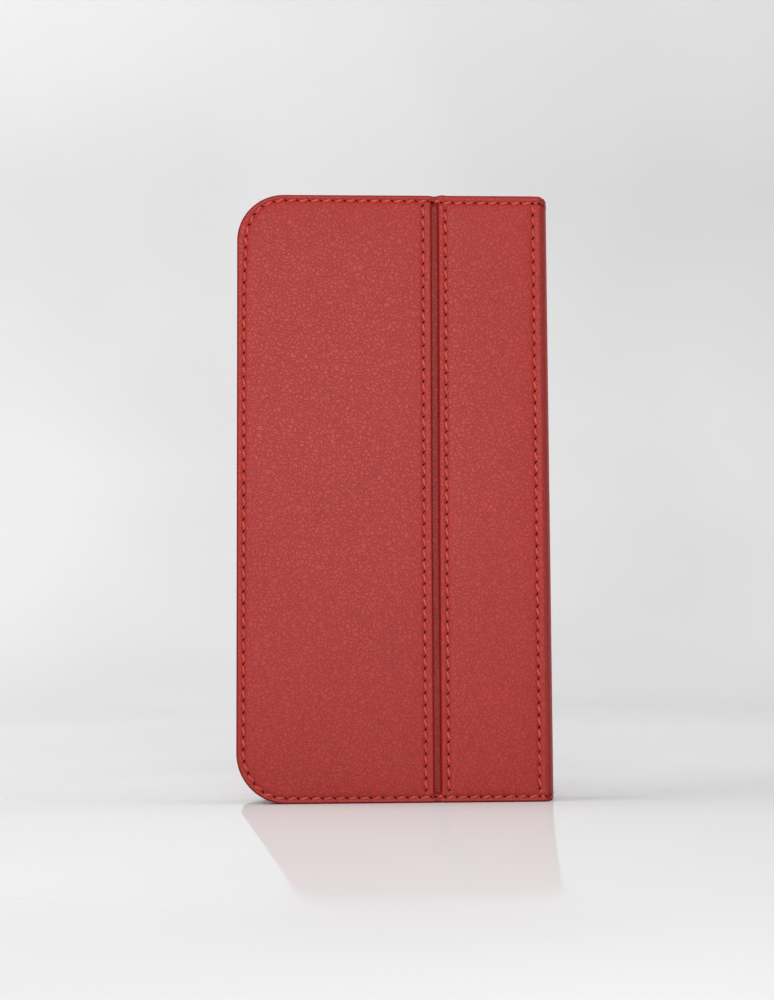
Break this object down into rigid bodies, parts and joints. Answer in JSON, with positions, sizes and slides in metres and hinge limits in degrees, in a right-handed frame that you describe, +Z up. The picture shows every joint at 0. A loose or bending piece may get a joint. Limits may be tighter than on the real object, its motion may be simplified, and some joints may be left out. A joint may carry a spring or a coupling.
{
  "type": "card holder",
  "caption": "Tall padded leather card holder that opens like a book, with a fold pressed into its front cover, stepped card slots and upright pockets inside.",
  "frame": {"origin": "middle of the footprint on the surface that the closed holder stands on", "axes": "+Z up along the tall side, front cover faces -Y, spine on +X, free edge on -X"},
  "size_m": [0.0986, 0.0166, 0.19],
  "materials": {
    "leather": "semi-matte pebbled red leather with turned edges",
    "lining": "matte fine-napped split leather, deep red",
    "thread": "waxed sewing thread, light red",
    "board": "pressed fibre board, sealed inside the leaves",
    "padding": "thin foam padding, sealed inside the leaves"
  },
  "bodies": {
    "back_cover": {"back_cover_leather": "leather", "back_cover_padding": "padding", "back_cover_board": "board", "back_cover_lining": "lining", "card_slot_1": "leather", "card_slot_2": "leather", "card_slot_3": "leather", "card_slot_4": "leather", "card_slot_5": "leather", "card_slot_6": "leather", "card_slot_7": "leather", "card_slot_8": "leather", "slot_side_welts": "lining", "slot_floor_welts": "lining", "back_cover_edge_thread": "thread", "back_cover_spine_thread": "thread"},
    "spine": {"spine_leather": "leather", "spine_stiffener": "board", "spine_lining": "lining", "spine_thread": "thread"},
    "narrow_leaf": {"narrow_leaf_leather": "leather", "narrow_leaf_padding": "padding", "narrow_leaf_board": "board", "narrow_leaf_lining": "lining", "groove_hinge_strip": "leather", "narrow_leaf_edge_thread": "thread", "narrow_leaf_groove_thread": "thread", "narrow_leaf_spine_thread": "thread"},
    "wide_leaf": {"wide_leaf_leather": "leather", "wide_leaf_padding": "padding", "wide_leaf_board": "board", "wide_leaf_lining": "lining", "upper_pocket_panel": "leather", "lower_pocket_panel": "leather", "front_pocket_welts": "lining", "wide_leaf_edge_thread": "thread", "wide_leaf_groove_thread": "thread"}
  },
  "joints": [
    {"name": "back_crease", "type": "hinge", "parent": "back_cover", "child": "spine", "pos_m": [0.0463, 0.0075, 0], "axis": [0, 0, 1], "range_deg": [0, 90]},
    {"name": "front_crease", "type": "hinge", "parent": "spine", "child": "narrow_leaf", "pos_m": [0.0463, -0.0075, 0], "axis": [0, 0, 1], "range_deg": [0, 90]},
    {"name": "groove_fold", "type": "hinge", "parent": "narrow_leaf", "child": "wide_leaf", "pos_m": [0.01245, -0.0056, 0], "axis": [0, 0, 1], "range_deg": [0, 60]}
  ],
  "couplings": [
    {"joint": "front_crease", "follows": "back_crease", "ratio": 1}
  ]
}
